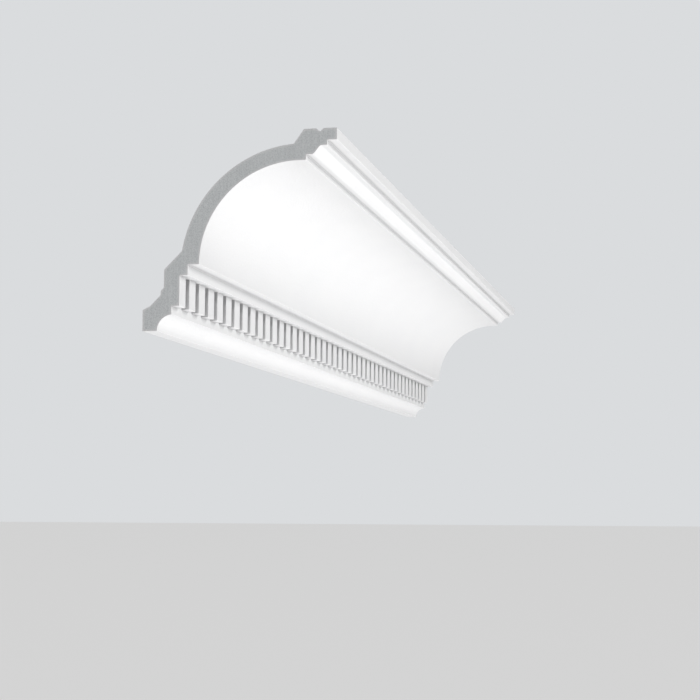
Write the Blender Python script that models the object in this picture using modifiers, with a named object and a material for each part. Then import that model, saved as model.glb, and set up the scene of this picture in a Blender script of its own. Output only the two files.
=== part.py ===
"""A cornice moulding length: a large cove, a dentil band below it and a stepped lip above it.

Metres, +Z up. The length runs along X. Its back is at the plane Y = 0 and its face looks towards -Y.
Z = 0 is the middle of the flat strip at the foot of the back, which takes the glue.
The section is one outline of (out, up) points: out from the back plane, up from the bottom edge.
"""

import math

import bmesh
import bpy

# Overall size
LENGTH = 0.873
DROP = 0.120
PROJECTION = 0.120

# Foot of the section, from the back plane outwards
BOTTOM_LAND = 0.0092
LOWER_COVE_WIDTH = 0.0090
LOWER_COVE_RADIUS = 0.0099
LOWER_FILLET_HEIGHT = 0.0051

# Dentil band
DENTIL_PITCH = 0.0194
DENTIL_GAP = 0.0071
DENTIL_HEIGHT = 0.0186
DENTIL_DEPTH = 0.0049

# Fillet between the dentils and the large cove
UPPER_FILLET_OUT = 0.0050
UPPER_FILLET_HEIGHT = 0.0064
COVE_FOOT_LAND = 0.0071

# Steps from the crown of the large cove out to the lip
CROWN_LAND = 0.0049
CROWN_STEP = 0.0033
OGEE_INNER_LAND = 0.0036
OGEE_WIDTH = 0.0060
OGEE_HEIGHT = 0.0053
OGEE_OUTER_LAND = 0.0033
LIP_STEP = 0.0031
LIP_WIDTH = 0.0060
LIP_HEIGHT = 0.0072

# Top edge, with a V groove that holds glue
TOP_LAND = 0.0202
GROOVE_FROM_LIP = 0.0080
GROOVE_WIDTH = 0.0048
GROOVE_DEPTH = 0.0020
BACK_SLOPE_RUN = 0.0063

# Hollow back: the shell's thickness, and how far its arc's centre is off the cove's own
SHELL_AT_CROWN = 0.0103
SHELL_AT_FOOT = 0.0118
HOLLOW_SHIFT_OUT = 0.0019
HOLLOW_SHIFT_DOWN = 0.0035

# Back of the dentil band and the flat strip below it, which takes the glue
WALL_STRIP_HEIGHT = 0.0129
TOE_WIDTH = 0.0046
TOE_RISE = 0.0022
BAND_WALL = 0.0050
BAND_STEP = 0.0019
BAND_STEP_UP = 0.0094
SPLAY_BELOW_COVE = 0.0027

# Flat sides that stand for each curve
COVE_SIDES = 32
LOWER_COVE_SIDES = 10
OGEE_SIDES = 10
HOLLOW_SIDES = 28
SMOOTH_BELOW = math.radians(25)

COLOUR = (0.86, 0.86, 0.85, 1.0)
ROUGHNESS = 0.55

# Places in the section that several members share
DENTIL_GROUND = BOTTOM_LAND + LOWER_COVE_WIDTH
LOWER_COVE_RISE = math.sqrt(LOWER_COVE_RADIUS**2 - (LOWER_COVE_RADIUS - LOWER_COVE_WIDTH) ** 2)
DENTIL_FOOT = LOWER_COVE_RISE + LOWER_FILLET_HEIGHT
DENTIL_TOP = DENTIL_FOOT + DENTIL_HEIGHT
DENTIL_FACE = DENTIL_GROUND + DENTIL_DEPTH
UPPER_FILLET_FACE = DENTIL_FACE + UPPER_FILLET_OUT
COVE_FOOT = (UPPER_FILLET_FACE + COVE_FOOT_LAND, DENTIL_TOP + UPPER_FILLET_HEIGHT)
LIP_UNDERSIDE = DROP - LIP_HEIGHT
OGEE_TOP = (PROJECTION - LIP_WIDTH - OGEE_OUTER_LAND, LIP_UNDERSIDE - LIP_STEP)
OGEE_FOOT = (OGEE_TOP[0] - OGEE_WIDTH, OGEE_TOP[1] - OGEE_HEIGHT)
CROWN = (OGEE_FOOT[0] - OGEE_INNER_LAND - CROWN_LAND, OGEE_FOOT[1] - CROWN_STEP)
STRIP_MIDDLE = WALL_STRIP_HEIGHT / 2


def clear_scene():
    for obj in list(bpy.data.objects):
        bpy.data.objects.remove(obj, do_unlink=True)


def new_collection(name):
    collection = bpy.data.collections.new(name)
    bpy.context.scene.collection.children.link(collection)
    return collection


def primed_white():
    """The factory primer: an even, slightly satin white."""
    material = bpy.data.materials.new("primed_white")
    material.use_nodes = True
    shader = material.node_tree.nodes["Principled BSDF"]
    shader.inputs["Base Color"].default_value = COLOUR
    shader.inputs["Roughness"].default_value = ROUGHNESS
    shader.inputs["Metallic"].default_value = 0.0
    return material


def arc(centre, radii, start, end, sides):
    """Points on an ellipse from the start angle to the end angle, both included."""
    points = []
    for step in range(sides + 1):
        angle = start + (end - start) * step / sides
        out = centre[0] + radii[0] * math.cos(angle)
        up = centre[1] + radii[1] * math.sin(angle)
        points.append((out, up))
    return points


def lower_cove():
    """The small cove at the foot: it leaves the bottom land upright and ends at the dentils' ground."""
    centre = (BOTTOM_LAND + LOWER_COVE_RADIUS, 0.0)
    end = math.acos((LOWER_COVE_WIDTH - LOWER_COVE_RADIUS) / LOWER_COVE_RADIUS)
    return arc(centre, (LOWER_COVE_RADIUS, LOWER_COVE_RADIUS), math.pi, end, LOWER_COVE_SIDES)


def large_cove():
    """A quarter round hollow, upright at its foot and level at its crown."""
    centre = (CROWN[0], COVE_FOOT[1])
    radii = (CROWN[0] - COVE_FOOT[0], CROWN[1] - COVE_FOOT[1])
    return arc(centre, radii, math.pi, math.pi / 2, COVE_SIDES)


def ogee():
    """An S curve that is level at both ends: the rise is 3t^2 - 2t^3 of its height."""
    points = []
    for step in range(OGEE_SIDES + 1):
        t = step / OGEE_SIDES
        rise = t * t * (3 - 2 * t)
        points.append((OGEE_FOOT[0] + OGEE_WIDTH * t, OGEE_FOOT[1] + OGEE_HEIGHT * rise))
    return points


def front():
    """From the bottom corner at the back plane up to the lip's top corner, with the dentil band bare."""
    points = [(0.0, 0.0)]
    points += lower_cove()
    points += [(DENTIL_GROUND, DENTIL_TOP), (UPPER_FILLET_FACE, DENTIL_TOP)]
    points.append((UPPER_FILLET_FACE, COVE_FOOT[1]))
    points += large_cove()
    points.append((CROWN[0] + CROWN_LAND, CROWN[1]))
    points.append((CROWN[0] + CROWN_LAND, OGEE_FOOT[1]))
    points += ogee()
    points.append((PROJECTION - LIP_WIDTH, OGEE_TOP[1]))
    points.append((PROJECTION - LIP_WIDTH, LIP_UNDERSIDE))
    points += [(PROJECTION, LIP_UNDERSIDE), (PROJECTION, DROP)]
    return points


def top():
    """The top edge, from the V groove to the foot of the slope behind it."""
    groove_out = PROJECTION - GROOVE_FROM_LIP
    return [
        (groove_out, DROP),
        (groove_out - GROOVE_WIDTH / 2, DROP - GROOVE_DEPTH),
        (groove_out - GROOVE_WIDTH, DROP),
        (PROJECTION - TOP_LAND, DROP),
    ]


def level_run_to_ellipse(start, centre, radii):
    """How far a line at 45 degrees, out and up from start, runs along each axis to the ellipse."""
    out = start[0] - centre[0]
    up = start[1] - centre[1]
    a = 1 / radii[0] ** 2 + 1 / radii[1] ** 2
    b = out / radii[0] ** 2 + up / radii[1] ** 2
    c = (out / radii[0]) ** 2 + (up / radii[1]) ** 2 - 1
    return (-b - math.sqrt(b * b - a * c)) / a


def back():
    """The hollow back, from the slope below the top edge down to the glued strip."""
    centre = (CROWN[0] + HOLLOW_SHIFT_OUT, COVE_FOOT[1] - HOLLOW_SHIFT_DOWN)
    hollow_foot = COVE_FOOT[0] - SHELL_AT_FOOT
    radii = (centre[0] - hollow_foot, CROWN[1] + SHELL_AT_CROWN - centre[1])
    slope_foot = PROJECTION - TOP_LAND - BACK_SLOPE_RUN
    start = math.acos((slope_foot - centre[0]) / radii[0])

    band_back = DENTIL_GROUND - BAND_WALL
    splay = (band_back, COVE_FOOT[1] - SPLAY_BELOW_COVE)
    run = level_run_to_ellipse(splay, centre, radii)
    end = math.atan2((splay[1] + run - centre[1]) / radii[1], (splay[0] + run - centre[0]) / radii[0])

    step_up = DENTIL_FOOT + BAND_STEP_UP
    toe = (TOE_WIDTH, WALL_STRIP_HEIGHT + TOE_RISE)
    step_back = band_back - BAND_STEP
    points = arc(centre, radii, start, end, HOLLOW_SIDES)
    points += [splay, (band_back, step_up + BAND_STEP), (step_back, step_up)]
    points += [(step_back, toe[1] + step_back - toe[0]), toe, (0.0, WALL_STRIP_HEIGHT)]
    return points


def moulded_run(collection, material):
    """The section extruded over the length, as one closed mesh with the dentil band still bare."""
    outline = front() + top() + back()
    curve = bpy.data.curves.new("cornice_section", "CURVE")
    curve.dimensions = "2D"
    curve.fill_mode = "BOTH"
    curve.extrude = LENGTH / 2
    spline = curve.splines.new("POLY")
    spline.points.add(len(outline) - 1)
    for point, (out, up) in zip(spline.points, outline):
        point.co = (out, up, 0.0, 1.0)
    spline.use_cyclic_u = True

    guide = bpy.data.objects.new("cornice_section", curve)
    guide.location = (0.0, 0.0, -STRIP_MIDDLE)
    guide.rotation_euler = (math.radians(90), 0.0, math.radians(-90))
    collection.objects.link(guide)
    bpy.context.view_layer.update()
    graph = bpy.context.evaluated_depsgraph_get()
    mesh = bpy.data.meshes.new_from_object(guide.evaluated_get(graph))

    run = bmesh.new()
    run.from_mesh(mesh)
    bmesh.ops.remove_doubles(run, verts=run.verts, dist=0.00001)
    bmesh.ops.recalc_face_normals(run, faces=run.faces)
    run.to_mesh(mesh)
    run.free()
    mesh.shade_smooth()
    mesh.set_sharp_from_angle(angle=SMOOTH_BELOW)
    mesh.materials.clear()
    mesh.materials.append(material)

    moulding = bpy.data.objects.new("cornice_length", mesh)
    moulding.matrix_world = guide.matrix_world
    collection.objects.link(moulding)
    bpy.data.objects.remove(guide, do_unlink=True)
    return moulding


def dentil_row(collection, material):
    """Every whole dentil that fits, from the first cut end on, rooted in the shell and in the fillet."""
    behind = BAND_WALL / 2
    above = UPPER_FILLET_HEIGHT / 2
    size = (DENTIL_PITCH - DENTIL_GAP, DENTIL_DEPTH + behind, DENTIL_HEIGHT + above)
    first = (-LENGTH / 2, -DENTIL_FACE, DENTIL_FOOT - STRIP_MIDDLE)

    bpy.ops.mesh.primitive_cube_add(size=1.0)
    row = bpy.context.object
    row.name = "dentil_row"
    for vertex in row.data.vertices:
        for axis in range(3):
            vertex.co[axis] = first[axis] + size[axis] * (vertex.co[axis] + 0.5)
    row.data.materials.append(material)

    array = row.modifiers.new("along the length", "ARRAY")
    array.count = math.floor((LENGTH + DENTIL_GAP) / DENTIL_PITCH)
    array.use_relative_offset = False
    array.use_constant_offset = True
    array.constant_offset_displace = (DENTIL_PITCH, 0.0, 0.0)
    for owner in list(row.users_collection):
        owner.objects.unlink(row)
    collection.objects.link(row)
    row.hide_render = True
    row.display_type = "WIRE"
    return row


def main():
    clear_scene()
    parts = new_collection("cornice_moulding_length")
    joined = new_collection("joined_by_boolean")
    joined.hide_render = True
    material = primed_white()
    moulding = moulded_run(parts, material)
    dentils = moulding.modifiers.new("dentils", "BOOLEAN")
    dentils.operation = "UNION"
    dentils.solver = "EXACT"
    dentils.object = dentil_row(joined, material)


main()
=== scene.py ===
"""The looks of a cornice moulding length: a primed white cove with a dentil band and a stepped lip.

The moulding is drawn as it is made. Its section is carried along a run that is a little too long,
the dentils are joined to it, and both ends are then sawn square. Metres, +Z up. The length runs along
X, the back is at the plane Y = 0 and the face looks towards -Y.
"""

import math

import bmesh
import bpy
import numpy as np
from mathutils import Matrix, Vector


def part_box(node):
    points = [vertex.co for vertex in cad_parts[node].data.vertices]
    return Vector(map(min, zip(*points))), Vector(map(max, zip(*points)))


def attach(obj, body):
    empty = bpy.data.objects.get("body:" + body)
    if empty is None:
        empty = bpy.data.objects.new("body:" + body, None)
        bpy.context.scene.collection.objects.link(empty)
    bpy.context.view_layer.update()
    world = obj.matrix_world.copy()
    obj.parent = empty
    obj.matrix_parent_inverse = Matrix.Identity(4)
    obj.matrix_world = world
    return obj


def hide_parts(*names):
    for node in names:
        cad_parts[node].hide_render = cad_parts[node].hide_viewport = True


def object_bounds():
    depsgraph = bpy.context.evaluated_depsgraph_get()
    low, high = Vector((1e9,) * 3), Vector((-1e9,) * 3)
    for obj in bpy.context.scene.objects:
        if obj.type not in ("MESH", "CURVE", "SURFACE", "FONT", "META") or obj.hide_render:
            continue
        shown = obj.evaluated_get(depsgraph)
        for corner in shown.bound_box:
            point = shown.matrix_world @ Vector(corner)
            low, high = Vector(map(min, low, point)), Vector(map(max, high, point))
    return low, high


bl_info = {
    "name": "Cornice moulding length",
    "version": (1, 0, 0),
    "blender": (4, 5, 0),
    "location": "3D View > Sidebar > Cornice",
    "description": "Makes a cove cornice length with a dentil band, and a pale studio to show it in",
    "category": "Object",
}

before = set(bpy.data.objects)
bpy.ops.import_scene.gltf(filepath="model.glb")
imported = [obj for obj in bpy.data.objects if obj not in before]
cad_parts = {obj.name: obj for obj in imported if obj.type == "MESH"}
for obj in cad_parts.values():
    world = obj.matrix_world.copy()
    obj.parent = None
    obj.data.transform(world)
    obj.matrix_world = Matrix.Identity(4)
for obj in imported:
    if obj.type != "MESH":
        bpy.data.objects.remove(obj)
CAD_LOW, CAD_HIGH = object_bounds()
NODE = "cornice_length"
BODY = "root"
PRIMED, BARE, CUT = 0, 1, 2

# Straight sides that stand for each curve
SMALL_COVE_SIDES = 14
LARGE_COVE_SIDES = 56
OGEE_SIDES = 16
HOLLOW_SIDES = 40
CORNER_SIDES = 5
DENTIL_CORNER_SIDES = 4

# Two faces that turn by more than this from each other have a sharp edge between them
SHARP_FROM = math.radians(35)

# Points of a mesh that are closer than this are one, in metres
WELD = 1e-6

# The first keeps a division off zero, the second a whole count from falling short by rounding
TINY = 1e-9
ROUNDING = 1e-4

# Sockets of a Mix node for colours, whose names are shared with its other kinds
MIX_SHARE, MIX_FIRST, MIX_SECOND, MIX_RESULT = 0, 6, 7, 2

# How far from an inward corner the painted corner shade reaches, and how deep the dense rim of a cut is, in
# metres
PAINTED_SHADE_REACH = 0.008
RIM_REACH = 0.0025

# The overhead light shines from here to the origin, and its disc is this wide, for soft shadows
OVERHEAD_PLACE = (0.0, -0.52, 3.0)
OVERHEAD_WIDTH = math.radians(20)

# Each soft box: its name, as in Studio, its place and aim from the moulding's middle, its width and height
SOFT_BOXES = (
    ("front", (-0.1, -1.85, -1.18), (-0.65, 0.0, 0.0), 2.4, 1.6),
    ("rear", (0.0, 1.6, 1.6), (0.0, 0.0, 0.0), 2.0, 1.2),
    ("end", (-1.9, -0.56, -0.4), (-0.4, 0.0, 0.0), 0.8, 0.8),
)
SOFT_BOX_SPREAD = math.radians(90)


def size(name, description, metres):
    """A length that the user can set, in metres."""
    return bpy.props.FloatProperty(
        name=name, description=description, default=metres, min=0.0, unit="LENGTH", precision=5
    )


def angle(name, description, degrees):
    """An angle that the user can set, given in degrees."""
    return bpy.props.FloatProperty(
        name=name, description=description, default=math.radians(degrees), subtype="ANGLE"
    )


def power(name, description, watts):
    """The power of a light that the user can set, in watts."""
    return bpy.props.FloatProperty(name=name, description=description, default=watts, min=0.0, unit="POWER")


def colour(name, description, shade):
    """A colour that the user can set, given as sRGB hex."""
    return bpy.props.FloatVectorProperty(
        name=name, description=description, default=linear(shade), size=3, subtype="COLOR", min=0.0, max=1.0
    )


def linear(shade):
    """An sRGB hex colour as linear red, green and blue."""
    parts = np.array([int(shade[i : i + 2], 16) for i in (1, 3, 5)]) / 255
    return tuple(np.where(parts <= 0.04045, parts / 12.92, ((parts + 0.055) / 1.055) ** 2.4))


class SectionSizes(bpy.types.PropertyGroup):
    """The members of the section, each with its own size."""

    bottom_land: size("Bottom land", "Flat under the foot, out from the back plane", 0.0092)
    lower_cove_width: size("Small cove width", "How far the small cove runs out", 0.0090)
    lower_cove_radius: size("Small cove radius", "Radius of the small cove", 0.0099)
    lower_fillet: size("Lower fillet", "Height of the plain face below the dentils", 0.0051)
    upper_fillet_out: size("Upper fillet out", "How far it stands out past the dentils", 0.0050)
    upper_fillet: size("Upper fillet", "Height of the plain face above the dentils", 0.0064)
    cove_foot_land: size("Cove foot land", "Underside at the foot of the large cove", 0.0071)
    crown_land: size("Crown land", "Flat at the crown of the large cove", 0.0049)
    crown_step: size("Crown step", "Step up from the crown", 0.0033)
    ogee_inner_land: size("Ogee inner land", "Flat behind the ogee", 0.0036)
    ogee_width: size("Ogee width", "How far the S curve runs out", 0.0060)
    ogee_height: size("Ogee height", "How far the S curve rises", 0.0053)
    ogee_outer_land: size("Ogee outer land", "Flat in front of the ogee", 0.0033)
    lip_step: size("Lip step", "Step up behind the lip", 0.0031)
    lip_width: size("Lip width", "Underside of the lip", 0.0060)
    lip_height: size("Lip height", "Face of the lip", 0.0072)
    top_land: size("Top land", "Flat on top, which takes the glue", 0.0202)
    groove_from_lip: size("Groove from lip", "From the lip's face to the glue groove", 0.0080)
    groove_width: size("Groove width", "Width of the V groove", 0.0048)
    groove_depth: size("Groove depth", "Depth of the V groove", 0.0020)
    back_slope_run: size("Back slope run", "How far the slope behind the top runs back", 0.0063)
    shell_at_crown: size("Shell at the crown", "Thickness above the crown", 0.0103)
    shell_at_foot: size("Shell at the foot", "Thickness behind the cove's foot", 0.0118)
    hollow_out: size("Hollow centre out", "How far the hollow's centre is past the cove's", 0.0019)
    hollow_down: size("Hollow centre down", "How far the hollow's centre is below the cove's", 0.0035)
    glue_strip: size("Glue strip", "Height of the flat at the foot of the back, which takes the glue", 0.0129)
    toe_width: size("Toe width", "Run of the shallow slope above the strip", 0.0046)
    toe_rise: size("Toe rise", "Rise of the shallow slope above the strip", 0.0022)
    band_shell: size("Band shell", "Thickness left behind the dentils' ground", 0.0050)
    band_step: size("Band step", "Extra thickness below the step in the back", 0.0019)
    band_step_up: size("Band step up", "From the dentils' foot to that step", 0.0094)
    splay_below: size("Splay below the cove", "From the cove's foot down to the splay", 0.0027)
    arris: size("Arris", "Radius of the outward corners on the face", 0.0004)
    inner: size("Inner corner", "Radius of the inward corners on the face", 0.0002)
    back_corner: size("Back corner", "Radius of the corners of the back", 0.0012)


class DentilSizes(bpy.types.PropertyGroup):
    """The row of dentils."""

    pitch: size("Pitch", "From one dentil to the next", 0.0194)
    gap: size("Gap", "Space between two dentils", 0.0071)
    height: size("Height", "Height of a dentil", 0.0186)
    depth: size("Depth", "How far a dentil stands out from its ground", 0.0049)
    arris: size("Arris", "Radius of a dentil's corners", 0.0004)
    root: size("Root", "How far a dentil reaches into the shell that it is joined to", 0.0025)
    saw_waste: size("Saw waste", "Extra length at each end, which is sawn off", 0.0030)


class Finish(bpy.types.PropertyGroup):
    """The colours of the moulding and of the studio."""

    primer: colour("Primer", "Sprayed primer on the face", "#F0F0F0")
    primer_thin: colour("Thin primer", "Where the primer is a little thinner", "#ECECED")
    # Painted shade: a grey mixed into the primer in inward corners, where less light reaches
    painted_corner_shade: colour("Painted corner shade", "Inward corners, darkened as painted shade", "#B2B2B3")
    bare_skin: colour("Bare skin", "Moulded skin of the back, which isn't primed", "#E4E3E0")
    rubbed_skin: colour("Rubbed skin", "Scratches and clouds on that skin", "#DAD9D6")
    core: colour("Core", "Sawn foam", "#E5E8E9")
    core_pore: colour("Core pore", "Shade in the open cells of the sawn foam", "#CACDCF")
    skin_edge: colour("Skin edge", "The dense skin where the saw has cut it", "#EBEBEC")
    floor: colour("Floor", "Studio floor", "#E8E8E8")
    background: colour("Background", "What the camera sees behind the moulding", "#DADCDE")


class Studio(bpy.types.PropertyGroup):
    """Where the camera, the floor and the lights are."""

    camera_place: bpy.props.FloatVectorProperty(
        name="Camera place",
        description="Where the camera stands: past the near end, in front and below",
        default=(-1.3721, -0.3387, -0.1167),
        size=3,
        subtype="TRANSLATION",
        unit="LENGTH",
    )
    heading: angle("Heading", "Turn of the view from along the moulding towards its back", 12.647)
    tilt: angle("Tilt", "How far the camera looks up", 5.760)
    roll: angle("Roll", "Turn of the camera about its own axis", 0.331)
    lens: bpy.props.FloatProperty(
        name="Lens", description="Focal length in millimetres", default=84.48, min=1.0, unit="CAMERA"
    )
    sensor: bpy.props.FloatProperty(
        name="Sensor", description="Width of the sensor in millimetres", default=36.0, min=1.0, unit="CAMERA"
    )
    floor_drop: size("Floor drop", "How far the floor is below the moulding", 2.2)
    floor_reach: size("Floor reach", "Half the width of the floor", 400.0)
    overhead: bpy.props.FloatProperty(
        name="Overhead light",
        description="Strength of the light from almost straight above, which the floor throws back up",
        default=1.96,
        min=0.0,
    )
    front: power("Front light", "Wide soft light before the face, below the moulding", 10.93)
    rear: power("Rear light", "Soft light that shows the back", 7.4)
    end: power("End light", "Weak light on the cut face and into the row's gaps", 0.4)
    surround: bpy.props.FloatProperty(
        name="Surround",
        description="Strength of the even light from all round",
        default=0.22,
        min=0.0,
    )


def corners(*members):
    """Corners of an outline as rows of out, up and corner radius."""
    return np.array(members, float)


def curve(out, up, start_radius, end_radius):
    """A curved member as rows of out, up and radius: only its first and last points are corners."""
    radius = np.zeros(len(out))
    radius[0], radius[-1] = start_radius, end_radius
    return np.stack([out, up, radius], axis=1)


def arc(centre, radii, start, end, sides):
    """Points on an ellipse: the centre plus the radii times the cosine and sine of each angle."""
    turn = np.linspace(start, end, sides + 1)
    return centre[0] + radii[0] * np.cos(turn), centre[1] + radii[1] * np.sin(turn)


def softened(outline, sides):
    """The closed outline with each corner turned into an arc that is tangent to both its sides.

    The arc's centre lies on the line that halves the corner, its radius over the sine of the half
    angle away. Each of its points is a mean of the first and last spoke, weighted by sines so that
    the points are evenly spaced. Rows of radius 0 pass through as they are. The second result says
    which row of the outline each point comes from.
    """
    points, radius = outline[:, :2], outline[:, 2]
    before = np.roll(points, 1, axis=0) - points
    after = np.roll(points, -1, axis=0) - points
    before /= np.linalg.norm(before, axis=1, keepdims=True)
    after /= np.linalg.norm(after, axis=1, keepdims=True)
    half = np.arccos(np.clip((before * after).sum(1), -1, 1)) / 2
    sweep = np.maximum(math.pi - 2 * half, TINY)
    middle = before + after
    middle /= np.maximum(np.linalg.norm(middle, axis=1, keepdims=True), TINY)
    centre = points + middle * (radius / np.sin(half))[:, None]
    reach = (radius / np.tan(half))[:, None]
    first, last = points + before * reach - centre, points + after * reach - centre
    t = np.linspace(0, 1, sides + 1)[None, :, None]
    turn = sweep[:, None, None]
    spokes = np.sin((1 - t) * turn) * first[:, None] + np.sin(t * turn) * last[:, None]
    rounded = centre[:, None] + spokes / np.sin(turn)
    is_corner = radius > 0
    rounded[~is_corner] = points[~is_corner, None]
    kept = is_corner[:, None] | (np.arange(sides + 1) == 0)[None]
    return rounded[kept], np.nonzero(kept)[0]


def shared_places(s, d, drop, projection):
    """The places in the section that several members share."""
    ground = s.bottom_land + s.lower_cove_width
    lower_rise = math.sqrt(s.lower_cove_radius**2 - (s.lower_cove_radius - s.lower_cove_width) ** 2)
    dentil_foot = lower_rise + s.lower_fillet
    dentil_top = dentil_foot + d.height
    fillet_face = ground + d.depth + s.upper_fillet_out
    ogee_top = (projection - s.lip_width - s.ogee_outer_land, drop - s.lip_height - s.lip_step)
    ogee_foot = (ogee_top[0] - s.ogee_width, ogee_top[1] - s.ogee_height)
    return {
        "ground": ground,
        "dentil_foot": dentil_foot,
        "dentil_top": dentil_top,
        "fillet_face": fillet_face,
        "cove_foot": (fillet_face + s.cove_foot_land, dentil_top + s.upper_fillet),
        "ogee_foot": ogee_foot,
        "crown": (ogee_foot[0] - s.ogee_inner_land - s.crown_land, ogee_foot[1] - s.crown_step),
    }


def face_outline(s, at, drop, projection):
    """The primed side, from the bottom corner at the back plane to the lip's top corner.

    The coves are arcs. The ogee rises by three times the square of its share of the run, less
    twice the cube, so it is level at both ends.
    """
    soft, inner = s.arris, s.inner
    small_centre = (s.bottom_land + s.lower_cove_radius, 0.0)
    small_end = math.acos((s.lower_cove_width - s.lower_cove_radius) / s.lower_cove_radius)
    small = arc(small_centre, (s.lower_cove_radius,) * 2, math.pi, small_end, SMALL_COVE_SIDES)

    foot, crown = at["cove_foot"], at["crown"]
    cove_radii = (crown[0] - foot[0], crown[1] - foot[1])
    cove = arc((crown[0], foot[1]), cove_radii, math.pi, math.pi / 2, LARGE_COVE_SIDES)

    t = np.linspace(0, 1, OGEE_SIDES + 1)
    ogee_out = at["ogee_foot"][0] + s.ogee_width * t
    ogee_up = at["ogee_foot"][1] + s.ogee_height * t * t * (3 - 2 * t)
    step_out = crown[0] + s.crown_land
    lip_in, lip_under = projection - s.lip_width, drop - s.lip_height
    return np.concatenate([
        corners((0.0, 0.0, soft)),
        curve(*small, soft, soft),
        corners(
            (at["ground"], at["dentil_top"], inner),
            (at["fillet_face"], at["dentil_top"], soft),
            (at["fillet_face"], foot[1], inner),
        ),
        curve(*cove, soft, 0.0),
        corners((step_out, crown[1], soft), (step_out, at["ogee_foot"][1], inner)),
        curve(ogee_out, ogee_up, 0.0, 0.0),
        corners(
            (lip_in, lip_under - s.lip_step, soft),
            (lip_in, lip_under, inner),
            (projection, lip_under, soft),
            (projection, drop, soft),
        ),
    ])


def back_outline(s, at, drop, projection):
    """The bare side: the top with its V groove, the hollow, and down to the glue strip.

    The hollow is an arc of an ellipse, whose centre is a little off that of the large cove.
    """
    groove = projection - s.groove_from_lip
    foot, crown = at["cove_foot"], at["crown"]
    centre = (crown[0] + s.hollow_out, foot[1] - s.hollow_down)
    radii = (centre[0] - foot[0] + s.shell_at_foot, crown[1] + s.shell_at_crown - centre[1])
    slope_foot = projection - s.top_land - s.back_slope_run
    start = math.acos((slope_foot - centre[0]) / radii[0])

    # The splay is a line at 45 degrees. It meets the hollow's ellipse at the nearer root.
    band_back = at["ground"] - s.band_shell
    splay = (band_back, foot[1] - s.splay_below)
    out, up = splay[0] - centre[0], splay[1] - centre[1]
    a = 1 / radii[0] ** 2 + 1 / radii[1] ** 2
    b = out / radii[0] ** 2 + up / radii[1] ** 2
    c = (out / radii[0]) ** 2 + (up / radii[1]) ** 2 - 1
    run = (-b - math.sqrt(b * b - a * c)) / a
    end = math.atan2((up + run) / radii[1], (out + run) / radii[0])
    hollow = arc(centre, radii, start, end, HOLLOW_SIDES)

    step_back, step_up = band_back - s.band_step, at["dentil_foot"] + s.band_step_up
    toe_up = s.glue_strip + s.toe_rise
    soft = s.back_corner
    small = soft / 2
    return np.concatenate([
        corners(
            (groove, drop, s.arris),
            (groove - s.groove_width / 2, drop - s.groove_depth, s.arris),
            (groove - s.groove_width, drop, s.arris),
            (projection - s.top_land, drop, soft),
        ),
        curve(*hollow, soft, 2 * soft),
        corners(
            (*splay, soft),
            (band_back, step_up + s.band_step, small),
            (step_back, step_up, small),
            (step_back, toe_up + step_back - s.toe_width, soft),
            (s.toe_width, toe_up, soft),
            (0.0, s.glue_strip, small),
        ),
    ])


def grid_faces(rows, columns):
    """Four corners of each cell of a grid whose last row joins the first."""
    row, column = np.meshgrid(np.arange(rows), np.arange(columns - 1), indexing="ij")
    here, onward = row * columns + column, (row + 1) % rows * columns + column
    return np.stack([here, onward, onward + 1, here + 1], axis=-1).reshape(-1, 4)


def mesh_from(name, points, faces, kinds):
    """A mesh from arrays, with a material number for each face."""
    mesh = bpy.data.meshes.new(name)
    mesh.from_pydata(points.tolist(), [], [list(face) for face in faces])
    mesh.polygons.foreach_set("material_index", np.asarray(kinds, np.int32))
    mesh.update()
    return mesh


def run_mesh(s, d, length, drop, projection):
    """The section carried along X over the length and the saw waste, closed at both ends.

    A point is its place along the run and its (out, up) place in the section, with out turned
    towards -Y and up counted from the middle of the glue strip.
    """
    at = shared_places(s, d, drop, projection)
    face = face_outline(s, at, drop, projection)
    back = back_outline(s, at, drop, projection)
    section, source = softened(np.concatenate([face, back]), CORNER_SIDES)
    is_back = (source >= len(face)).astype(int)

    # The long faces are parted in the middle of each gap, so that each holds one dentil.
    middle_of_gap = d.pitch - d.gap / 2
    inside = np.arange(-length / 2 + middle_of_gap, length / 2 - d.gap / 4, d.pitch)
    along = np.concatenate([[-length / 2 - d.saw_waste], inside, [length / 2 + d.saw_waste]])
    rows, columns = len(section), len(along)
    points = np.empty((rows, columns, 3))
    points[..., 0] = along
    points[..., 1] = -section[:, None, 0]
    points[..., 2] = section[:, None, 1] - s.glue_strip / 2

    # A strip of faces is bare as soon as one of its two edges is on the back.
    kinds = np.repeat(np.maximum(is_back, np.roll(is_back, -1)), columns - 1)
    start_cap = np.arange(rows) * columns
    faces = [*grid_faces(rows, columns), start_cap[::-1], start_cap + columns - 1]
    return mesh_from("run", points.reshape(-1, 3), faces, [*kinds, CUT, CUT]), at


def block_points(low, high, radius, sides):
    """A box with round corners, as rings of points from its bottom to its top.

    It is a small ball cut into its eight octants, each moved out to its own corner of the box:
    a point is the corner of the inner box in its octant plus the radius times its direction.
    """
    quarter = np.linspace(0, math.pi / 2, sides + 1)
    around = (quarter + math.pi / 2 * np.arange(4)[:, None]).ravel()
    rise = np.concatenate([quarter - math.pi / 2, quarter])[:, None]
    sign = np.stack(np.broadcast_arrays(
        np.repeat([1, -1, -1, 1], sides + 1),
        np.repeat([1, 1, -1, -1], sides + 1),
        np.repeat([-1, 1], sides + 1)[:, None],
    ), axis=-1)
    direction = np.stack(np.broadcast_arrays(
        np.cos(rise) * np.cos(around), np.cos(rise) * np.sin(around), np.sin(rise)
    ), axis=-1)
    half = (high - low) / 2
    return (low + high) / 2 + sign * (half - radius) + radius * direction


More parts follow.
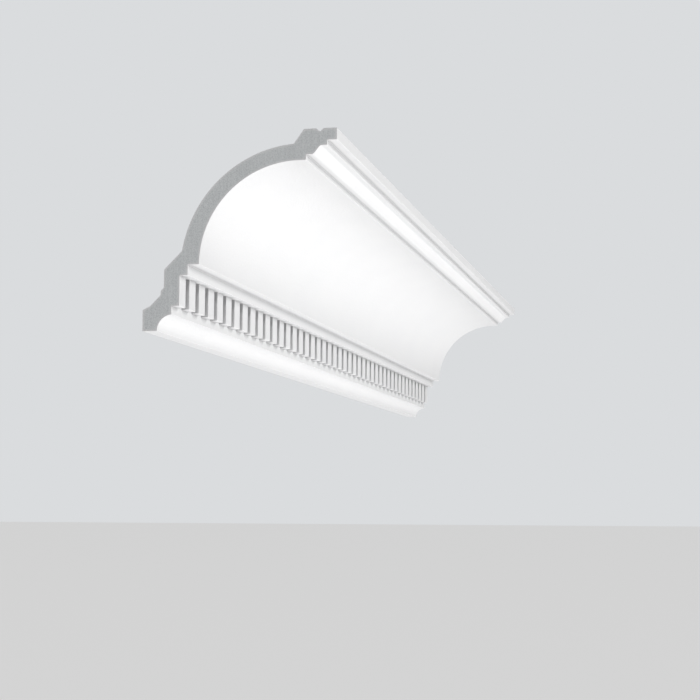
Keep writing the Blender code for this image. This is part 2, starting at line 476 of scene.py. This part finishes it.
def dentil_mesh(s, d, at, length):
    """The row of dentils: one block, repeated by adding the pitch."""
    rooted_out, rooted_up = at["ground"] - d.root, at["dentil_top"] + d.root
    low = np.array([0.0, -(at["ground"] + d.depth), at["dentil_foot"] - s.glue_strip / 2])
    high = np.array([d.pitch - d.gap, -rooted_out, rooted_up - s.glue_strip / 2])
    block = block_points(low, high, d.arris, DENTIL_CORNER_SIDES)
    rings, around = block.shape[:2]
    block = block.reshape(-1, 3)

    ring, step = np.meshgrid(np.arange(rings - 1), np.arange(around), indexing="ij")
    here, onward = ring * around + step, ring * around + (step + 1) % around
    sides = np.stack([here, onward, onward + around, here + around], axis=-1).reshape(-1, 4)
    bottom, top = np.arange(around)[::-1], np.arange(around) + (rings - 1) * around

    count = math.floor((length + d.gap) / d.pitch + ROUNDING)
    shift = -length / 2 + d.pitch * np.arange(count)
    points = np.repeat(block[None], count, axis=0)
    points[..., 0] += shift[:, None]
    # The near side of the first dentil moves out, so that the saw cut goes through it.
    first = points[0, :, 0]
    first[first < -length / 2 + d.arris * 2] -= d.saw_waste / 2

    start = np.arange(count)[:, None, None] * len(block)
    faces = [*(start + sides).reshape(-1, 4), *(start[..., 0] + bottom), *(start[..., 0] + top)]
    return mesh_from("dentils", points.reshape(-1, 3), faces, [PRIMED] * len(faces))


def closed(mesh):
    """Welds the doubled points of a closed mesh and turns its faces outwards."""
    work = bmesh.new()
    work.from_mesh(mesh)
    bmesh.ops.remove_doubles(work, verts=work.verts, dist=WELD)
    bmesh.ops.recalc_face_normals(work, faces=work.faces)
    work.to_mesh(mesh)
    work.free()
    return mesh


def joined(run, row):
    """One mesh from the run and the dentils that are rooted in it."""
    base = bpy.data.objects.new("run", run)
    tool = bpy.data.objects.new("dentils", row)
    for obj in (base, tool):
        bpy.context.scene.collection.objects.link(obj)
    union = base.modifiers.new("dentils", "BOOLEAN")
    union.operation = "UNION"
    union.solver = "EXACT"
    union.object = tool
    bpy.context.view_layer.update()
    graph = bpy.context.evaluated_depsgraph_get()
    mesh = bpy.data.meshes.new_from_object(base.evaluated_get(graph))
    for obj in (base, tool):
        bpy.data.objects.remove(obj, do_unlink=True)
    return mesh


def sawn(mesh, length):
    """Cuts both ends square and closes them. The cut faces take the sawn foam's material."""
    work = bmesh.new()
    work.from_mesh(mesh)
    for side in (-1, 1):
        everything = [*work.verts, *work.edges, *work.faces]
        cut = bmesh.ops.bisect_plane(
            work,
            geom=everything,
            plane_co=(side * length / 2, 0, 0),
            plane_no=(side, 0, 0),
            clear_outer=True,
        )
        edges = [e for e in cut["geom_cut"] if isinstance(e, bmesh.types.BMEdge)]
        for face in bmesh.ops.edgeloop_fill(work, edges=edges)["faces"]:
            face.normal_update()
            if face.normal.x * side < 0:
                face.normal_flip()
            face.material_index = CUT
            face.smooth = False
    work.to_mesh(mesh)
    work.free()


def add_node(tree, kind, inputs=None, **settings):
    """Adds a node, sets it up and links or fills its inputs."""
    made = tree.nodes.new(kind)
    for name, value in settings.items():
        setattr(made, name, value)
    for name, value in (inputs or {}).items():
        if isinstance(value, bpy.types.NodeSocket):
            tree.links.new(value, made.inputs[name])
        else:
            made.inputs[name].default_value = value
    return made


def new_material(name):
    """A node material that is still empty, and its node tree."""
    material = bpy.data.materials.new(name)
    material.use_nodes = True
    material.node_tree.nodes.clear()
    return material, material.node_tree


def per_metre(millimetres):
    """The scale of a pattern whose features are this far apart."""
    return 1000.0 / millimetres


def sprayed_primer(finish):
    """Water-based acrylic primer, sprayed on moulded rigid foam.

    It gives the eye an even, nearly white face with a low satin sheen. Close to, there is a slight
    orange peel a millimetre or two across, and the film is a shade greyer where it is thinner. Each
    inward corner has a soft grey line a few millimetres wide, which is painted shade.
    """
    material, tree = new_material("sprayed_primer")
    place = add_node(tree, "ShaderNodeTexCoord").outputs["Object"]
    film = add_node(tree, "ShaderNodeTexNoise", {"Vector": place, "Scale": per_metre(45), "Detail": 3.0})
    open_face = add_node(
        tree,
        "ShaderNodeMix",
        {
            MIX_FIRST: (*finish.primer_thin, 1),
            MIX_SECOND: (*finish.primer, 1),
            MIX_SHARE: film.outputs["Fac"],
        },
        data_type="RGBA",
    )
    corner_occlusion = add_node(
        tree,
        "ShaderNodeAmbientOcclusion",
        {"Distance": PAINTED_SHADE_REACH},
        only_local=True,
        samples=16,
    )
    # A point on a flat face sees all of its surroundings, one in a square inward corner about half. Where it
    # sees less, the colour is darkened towards the painted corner shade.
    painted_shade_share = add_node(
        tree,
        "ShaderNodeMapRange",
        {"Value": corner_occlusion.outputs["AO"], "From Min": 0.51, "From Max": 0.82},
    )
    # Mixes the painted corner shade into the primer's colour
    shade = add_node(
        tree,
        "ShaderNodeMix",
        {
            MIX_FIRST: (*finish.painted_corner_shade, 1),
            MIX_SECOND: open_face.outputs[MIX_RESULT],
            MIX_SHARE: painted_shade_share.outputs["Result"],
        },
        data_type="RGBA",
    )
    peel = add_node(tree, "ShaderNodeTexNoise", {"Vector": place, "Scale": per_metre(1.6), "Detail": 2.0})
    relief = add_node(
        tree,
        "ShaderNodeBump",
        {"Height": peel.outputs["Fac"], "Strength": 1.0, "Distance": 0.0002},
    )
    sheen = add_node(
        tree,
        "ShaderNodeMapRange",
        {"Value": film.outputs["Fac"], "To Min": 0.50, "To Max": 0.60},
    )
    shader = add_node(
        tree,
        "ShaderNodeBsdfPrincipled",
        {
            "Base Color": shade.outputs[MIX_RESULT],
            "Roughness": sheen.outputs["Result"],
            "Metallic": 0.0,
            "IOR": 1.47,
            "Normal": relief.outputs["Normal"],
        },
    )
    add_node(tree, "ShaderNodeOutputMaterial", {"Surface": shader.outputs["BSDF"]})
    return material


def bare_skin(finish):
    """Rigid polyurethane foam's own moulded skin, rubbed down so that glue holds.

    It gives the eye a matt, slightly warm white with faint scratches along the length. Real ones
    are about 0.3 mm apart, and are drawn 0.9 mm apart so that they show.
    """
    material, tree = new_material("bare_moulded_skin")
    place = add_node(tree, "ShaderNodeTexCoord").outputs["Object"]
    along = add_node(tree, "ShaderNodeMapping", {"Vector": place, "Scale": (0.03, 1.0, 1.0)})
    rub = add_node(
        tree,
        "ShaderNodeTexNoise",
        {"Vector": along.outputs["Vector"], "Scale": per_metre(0.9), "Detail": 4.0},
    )
    cloud = add_node(tree, "ShaderNodeTexNoise", {"Vector": place, "Scale": per_metre(30), "Detail": 4.0})
    both = add_node(
        tree,
        "ShaderNodeMath",
        {0: rub.outputs["Fac"], 1: cloud.outputs["Fac"]},
        operation="ADD",
    )
    clean = add_node(
        tree,
        "ShaderNodeMapRange",
        {"Value": both.outputs["Value"], "From Min": 0.75, "From Max": 1.2},
    )
    shade = add_node(
        tree,
        "ShaderNodeMix",
        {
            MIX_FIRST: (*finish.rubbed_skin, 1),
            MIX_SECOND: (*finish.bare_skin, 1),
            MIX_SHARE: clean.outputs["Result"],
        },
        data_type="RGBA",
    )
    relief = add_node(
        tree,
        "ShaderNodeBump",
        {"Height": rub.outputs["Fac"], "Strength": 0.8, "Distance": 0.0002},
    )
    shader = add_node(
        tree,
        "ShaderNodeBsdfPrincipled",
        {
            "Base Color": shade.outputs[MIX_RESULT],
            "Roughness": 0.78,
            "Metallic": 0.0,
            "IOR": 1.5,
            "Normal": relief.outputs["Normal"],
        },
    )
    add_node(tree, "ShaderNodeOutputMaterial", {"Surface": shader.outputs["BSDF"]})
    return material


def sawn_foam(finish):
    """Fine-celled rigid polyurethane foam, sawn across.

    It gives the eye a dull pale grey, speckled by tiny open cells, with faint upright saw marks and
    a thin lighter rim where the skin is dense. The real cells are about 0.3 mm wide, and are drawn
    at 0.8 mm so that they show.
    """
    material, tree = new_material("sawn_rigid_foam")
    place = add_node(tree, "ShaderNodeTexCoord").outputs["Object"]
    cells = add_node(tree, "ShaderNodeTexVoronoi", {"Vector": place, "Scale": per_metre(0.8)})
    open_cell = add_node(
        tree,
        "ShaderNodeMapRange",
        {"Value": cells.outputs["Distance"], "From Min": 0.2, "From Max": 0.6, "To Min": 0.55, "To Max": 0.0},
    )
    upright = add_node(tree, "ShaderNodeMapping", {"Vector": place, "Scale": (1.0, 1.0, 0.04)})
    marks = add_node(
        tree,
        "ShaderNodeTexNoise",
        {"Vector": upright.outputs["Vector"], "Scale": per_metre(1.5), "Detail": 3.0},
    )
    streak = add_node(
        tree,
        "ShaderNodeMapRange",
        {"Value": marks.outputs["Fac"], "From Min": 0.35, "From Max": 0.65, "To Min": 0.0, "To Max": 0.28},
    )
    shade = add_node(
        tree,
        "ShaderNodeMath",
        {0: open_cell.outputs["Result"], 1: streak.outputs["Result"]},
        operation="ADD",
    )
    core = add_node(
        tree,
        "ShaderNodeMix",
        {
            MIX_FIRST: (*finish.core, 1),
            MIX_SECOND: (*finish.core_pore, 1),
            MIX_SHARE: shade.outputs["Value"],
        },
        data_type="RGBA",
    )
    rim = add_node(
        tree,
        "ShaderNodeAmbientOcclusion",
        {"Distance": RIM_REACH},
        inside=True,
        only_local=True,
        samples=16,
    )
    depth = add_node(
        tree,
        "ShaderNodeMapRange",
        {"Value": rim.outputs["AO"], "From Min": 0.6, "From Max": 0.85},
    )
    whole = add_node(
        tree,
        "ShaderNodeMix",
        {
            MIX_FIRST: (*finish.skin_edge, 1),
            MIX_SECOND: core.outputs[MIX_RESULT],
            MIX_SHARE: depth.outputs["Result"],
        },
        data_type="RGBA",
    )
    relief = add_node(
        tree,
        "ShaderNodeBump",
        {"Height": shade.outputs["Value"], "Strength": 0.6, "Distance": 0.0003},
        invert=True,
    )
    shader = add_node(
        tree,
        "ShaderNodeBsdfPrincipled",
        {
            "Base Color": whole.outputs[MIX_RESULT],
            "Roughness": 0.92,
            "Metallic": 0.0,
            "IOR": 1.5,
            "Normal": relief.outputs["Normal"],
        },
    )
    add_node(tree, "ShaderNodeOutputMaterial", {"Surface": shader.outputs["BSDF"]})
    return material


class OBJECT_OT_cornice_length(bpy.types.Operator):
    """Makes the moulding length and puts it in the place of the CAD solid"""

    bl_idname = "object.cornice_length"
    bl_label = "Moulding length"

    def execute(self, context):
        scene = context.scene
        low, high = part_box(NODE)
        length, projection, drop = high - low
        s, d = scene.cornice_section, scene.cornice_dentils
        run, at = run_mesh(s, d, length, drop, projection)
        row = dentil_mesh(s, d, at, length)
        # In the order of PRIMED, BARE and CUT
        for make_finish in (sprayed_primer, bare_skin, sawn_foam):
            material = make_finish(scene.cornice_finish)
            run.materials.append(material)
            row.materials.append(material)
        mesh = joined(closed(run), closed(row))
        if len(mesh.polygons) < len(run.polygons):
            raise RuntimeError("the dentils weren't joined to the run")
        mesh.shade_smooth()
        sawn(mesh, length)
        mesh.set_sharp_from_angle(angle=SHARP_FROM)
        kinds = np.empty(len(mesh.polygons), np.int32)
        mesh.polygons.foreach_get("material_index", kinds)
        if set(kinds) != {PRIMED, BARE, CUT}:
            raise RuntimeError("a finish has no face")
        piece = bpy.data.objects.new("moulding_length", mesh)
        context.scene.collection.objects.link(piece)
        even = piece.modifiers.new("even shading", "WEIGHTED_NORMAL")
        even.keep_sharp = True
        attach(piece, BODY)
        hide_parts(NODE)
        return {"FINISHED"}


def soft_light(name, kind, place, aim, strength, **settings):
    """A light at a place, turned to shine at another, that the camera doesn't see itself."""
    data = bpy.data.lights.new(name, kind)
    data.energy = strength
    for setting, value in settings.items():
        setattr(data, setting, value)
    light = bpy.data.objects.new(name, data)
    light.location = place
    light.rotation_euler = (Vector(aim) - Vector(place)).to_track_quat("-Z", "Y").to_euler()
    light.visible_camera = False
    bpy.context.scene.collection.objects.link(light)


def studio_floor(studio, finish):
    """A flat, plain floor, painted matt: an even pale grey without gloss."""
    reach, level = studio.floor_reach, -studio.floor_drop
    side = np.array([-reach, reach])
    x, y = np.meshgrid(side, side)
    points = np.stack([x.ravel(), y.ravel(), np.full(4, level)], axis=1)
    floor = bpy.data.objects.new("floor", mesh_from("floor", points, [[0, 1, 3, 2]], [0]))
    material, tree = new_material("studio_floor")
    shader = add_node(
        tree,
        "ShaderNodeBsdfPrincipled",
        {
            "Base Color": (*finish.floor, 1),
            "Roughness": 0.9,
            "Metallic": 0.0,
            "IOR": 1.45,
        },
    )
    add_node(tree, "ShaderNodeOutputMaterial", {"Surface": shader.outputs["BSDF"]})
    floor.data.materials.append(material)
    bpy.context.scene.collection.objects.link(floor)


def studio_world(studio, finish):
    """An even pale background, and a dimmer even light from all round."""
    world = bpy.data.worlds.new("studio")
    world.use_nodes = True
    tree = world.node_tree
    tree.nodes.clear()
    seen = add_node(tree, "ShaderNodeBackground", {"Color": (*finish.background, 1), "Strength": 1.0})
    lit = add_node(tree, "ShaderNodeBackground", {"Color": (1, 1, 1, 1), "Strength": studio.surround})
    ray = add_node(tree, "ShaderNodeLightPath")
    both = add_node(
        tree,
        "ShaderNodeMixShader",
        {0: ray.outputs["Is Camera Ray"], 1: lit.outputs["Background"], 2: seen.outputs["Background"]},
    )
    add_node(tree, "ShaderNodeOutputWorld", {"Surface": both.outputs["Shader"]})
    bpy.context.scene.world = world


def studio_camera(studio):
    """A camera beyond the near end, looking along the moulding, a little up and towards its back."""
    data = bpy.data.cameras.new("camera")
    data.sensor_width = studio.sensor
    data.lens = studio.lens
    data.clip_end = 2 * studio.floor_reach
    camera = bpy.data.objects.new("camera", data)
    quarter = math.pi / 2
    camera.matrix_world = (
        Matrix.Translation(studio.camera_place)
        @ Matrix.Rotation(studio.heading - quarter, 4, "Z")
        @ Matrix.Rotation(quarter + studio.tilt, 4, "X")
        @ Matrix.Rotation(studio.roll, 4, "Z")
    )
    bpy.context.scene.collection.objects.link(camera)
    bpy.context.scene.camera = camera


class OBJECT_OT_cornice_studio(bpy.types.Operator):
    """Makes the floor, the background, the lights and the camera"""

    bl_idname = "object.cornice_studio"
    bl_label = "Studio"

    def execute(self, context):
        scene = context.scene
        studio, finish = scene.cornice_studio, scene.cornice_finish
        scene.view_settings.view_transform = "Standard"
        studio_floor(studio, finish)
        studio_world(studio, finish)
        soft_light("overhead light", "SUN", OVERHEAD_PLACE, (0, 0, 0), studio.overhead, angle=OVERHEAD_WIDTH)
        middle = (CAD_LOW + CAD_HIGH) / 2
        for name, place, aim, width, height in SOFT_BOXES:
            soft_light(
                f"{name} light",
                "AREA",
                middle + Vector(place),
                middle + Vector(aim),
                getattr(studio, name),
                shape="RECTANGLE",
                size=width,
                size_y=height,
                spread=SOFT_BOX_SPREAD,
            )
        studio_camera(studio)
        return {"FINISHED"}


class VIEW3D_PT_cornice(bpy.types.Panel):
    """The steps that make the cornice and its studio"""

    bl_label = "Cornice moulding length"
    bl_space_type = "VIEW_3D"
    bl_region_type = "UI"
    bl_category = "Cornice"

    def draw(self, context):
        for operator in (OBJECT_OT_cornice_length, OBJECT_OT_cornice_studio):
            self.layout.operator(operator.bl_idname)


PROPERTY_GROUPS = {
    "cornice_section": SectionSizes,
    "cornice_dentils": DentilSizes,
    "cornice_finish": Finish,
    "cornice_studio": Studio,
}
CLASSES = (*PROPERTY_GROUPS.values(), OBJECT_OT_cornice_length, OBJECT_OT_cornice_studio, VIEW3D_PT_cornice)


def register():
    """Adds the classes, and hangs each group of settings on the scene."""
    for item in CLASSES:
        bpy.utils.register_class(item)
    for name, group in PROPERTY_GROUPS.items():
        setattr(bpy.types.Scene, name, bpy.props.PointerProperty(type=group))


def unregister():
    """Takes the settings and the classes away again."""
    for name in PROPERTY_GROUPS:
        delattr(bpy.types.Scene, name)
    for item in reversed(CLASSES):
        bpy.utils.unregister_class(item)


def main():
    """Makes the moulding and its studio."""
    register()
    bpy.ops.object.cornice_length()
    bpy.ops.object.cornice_studio()


if __name__ == "__main__":
    main()
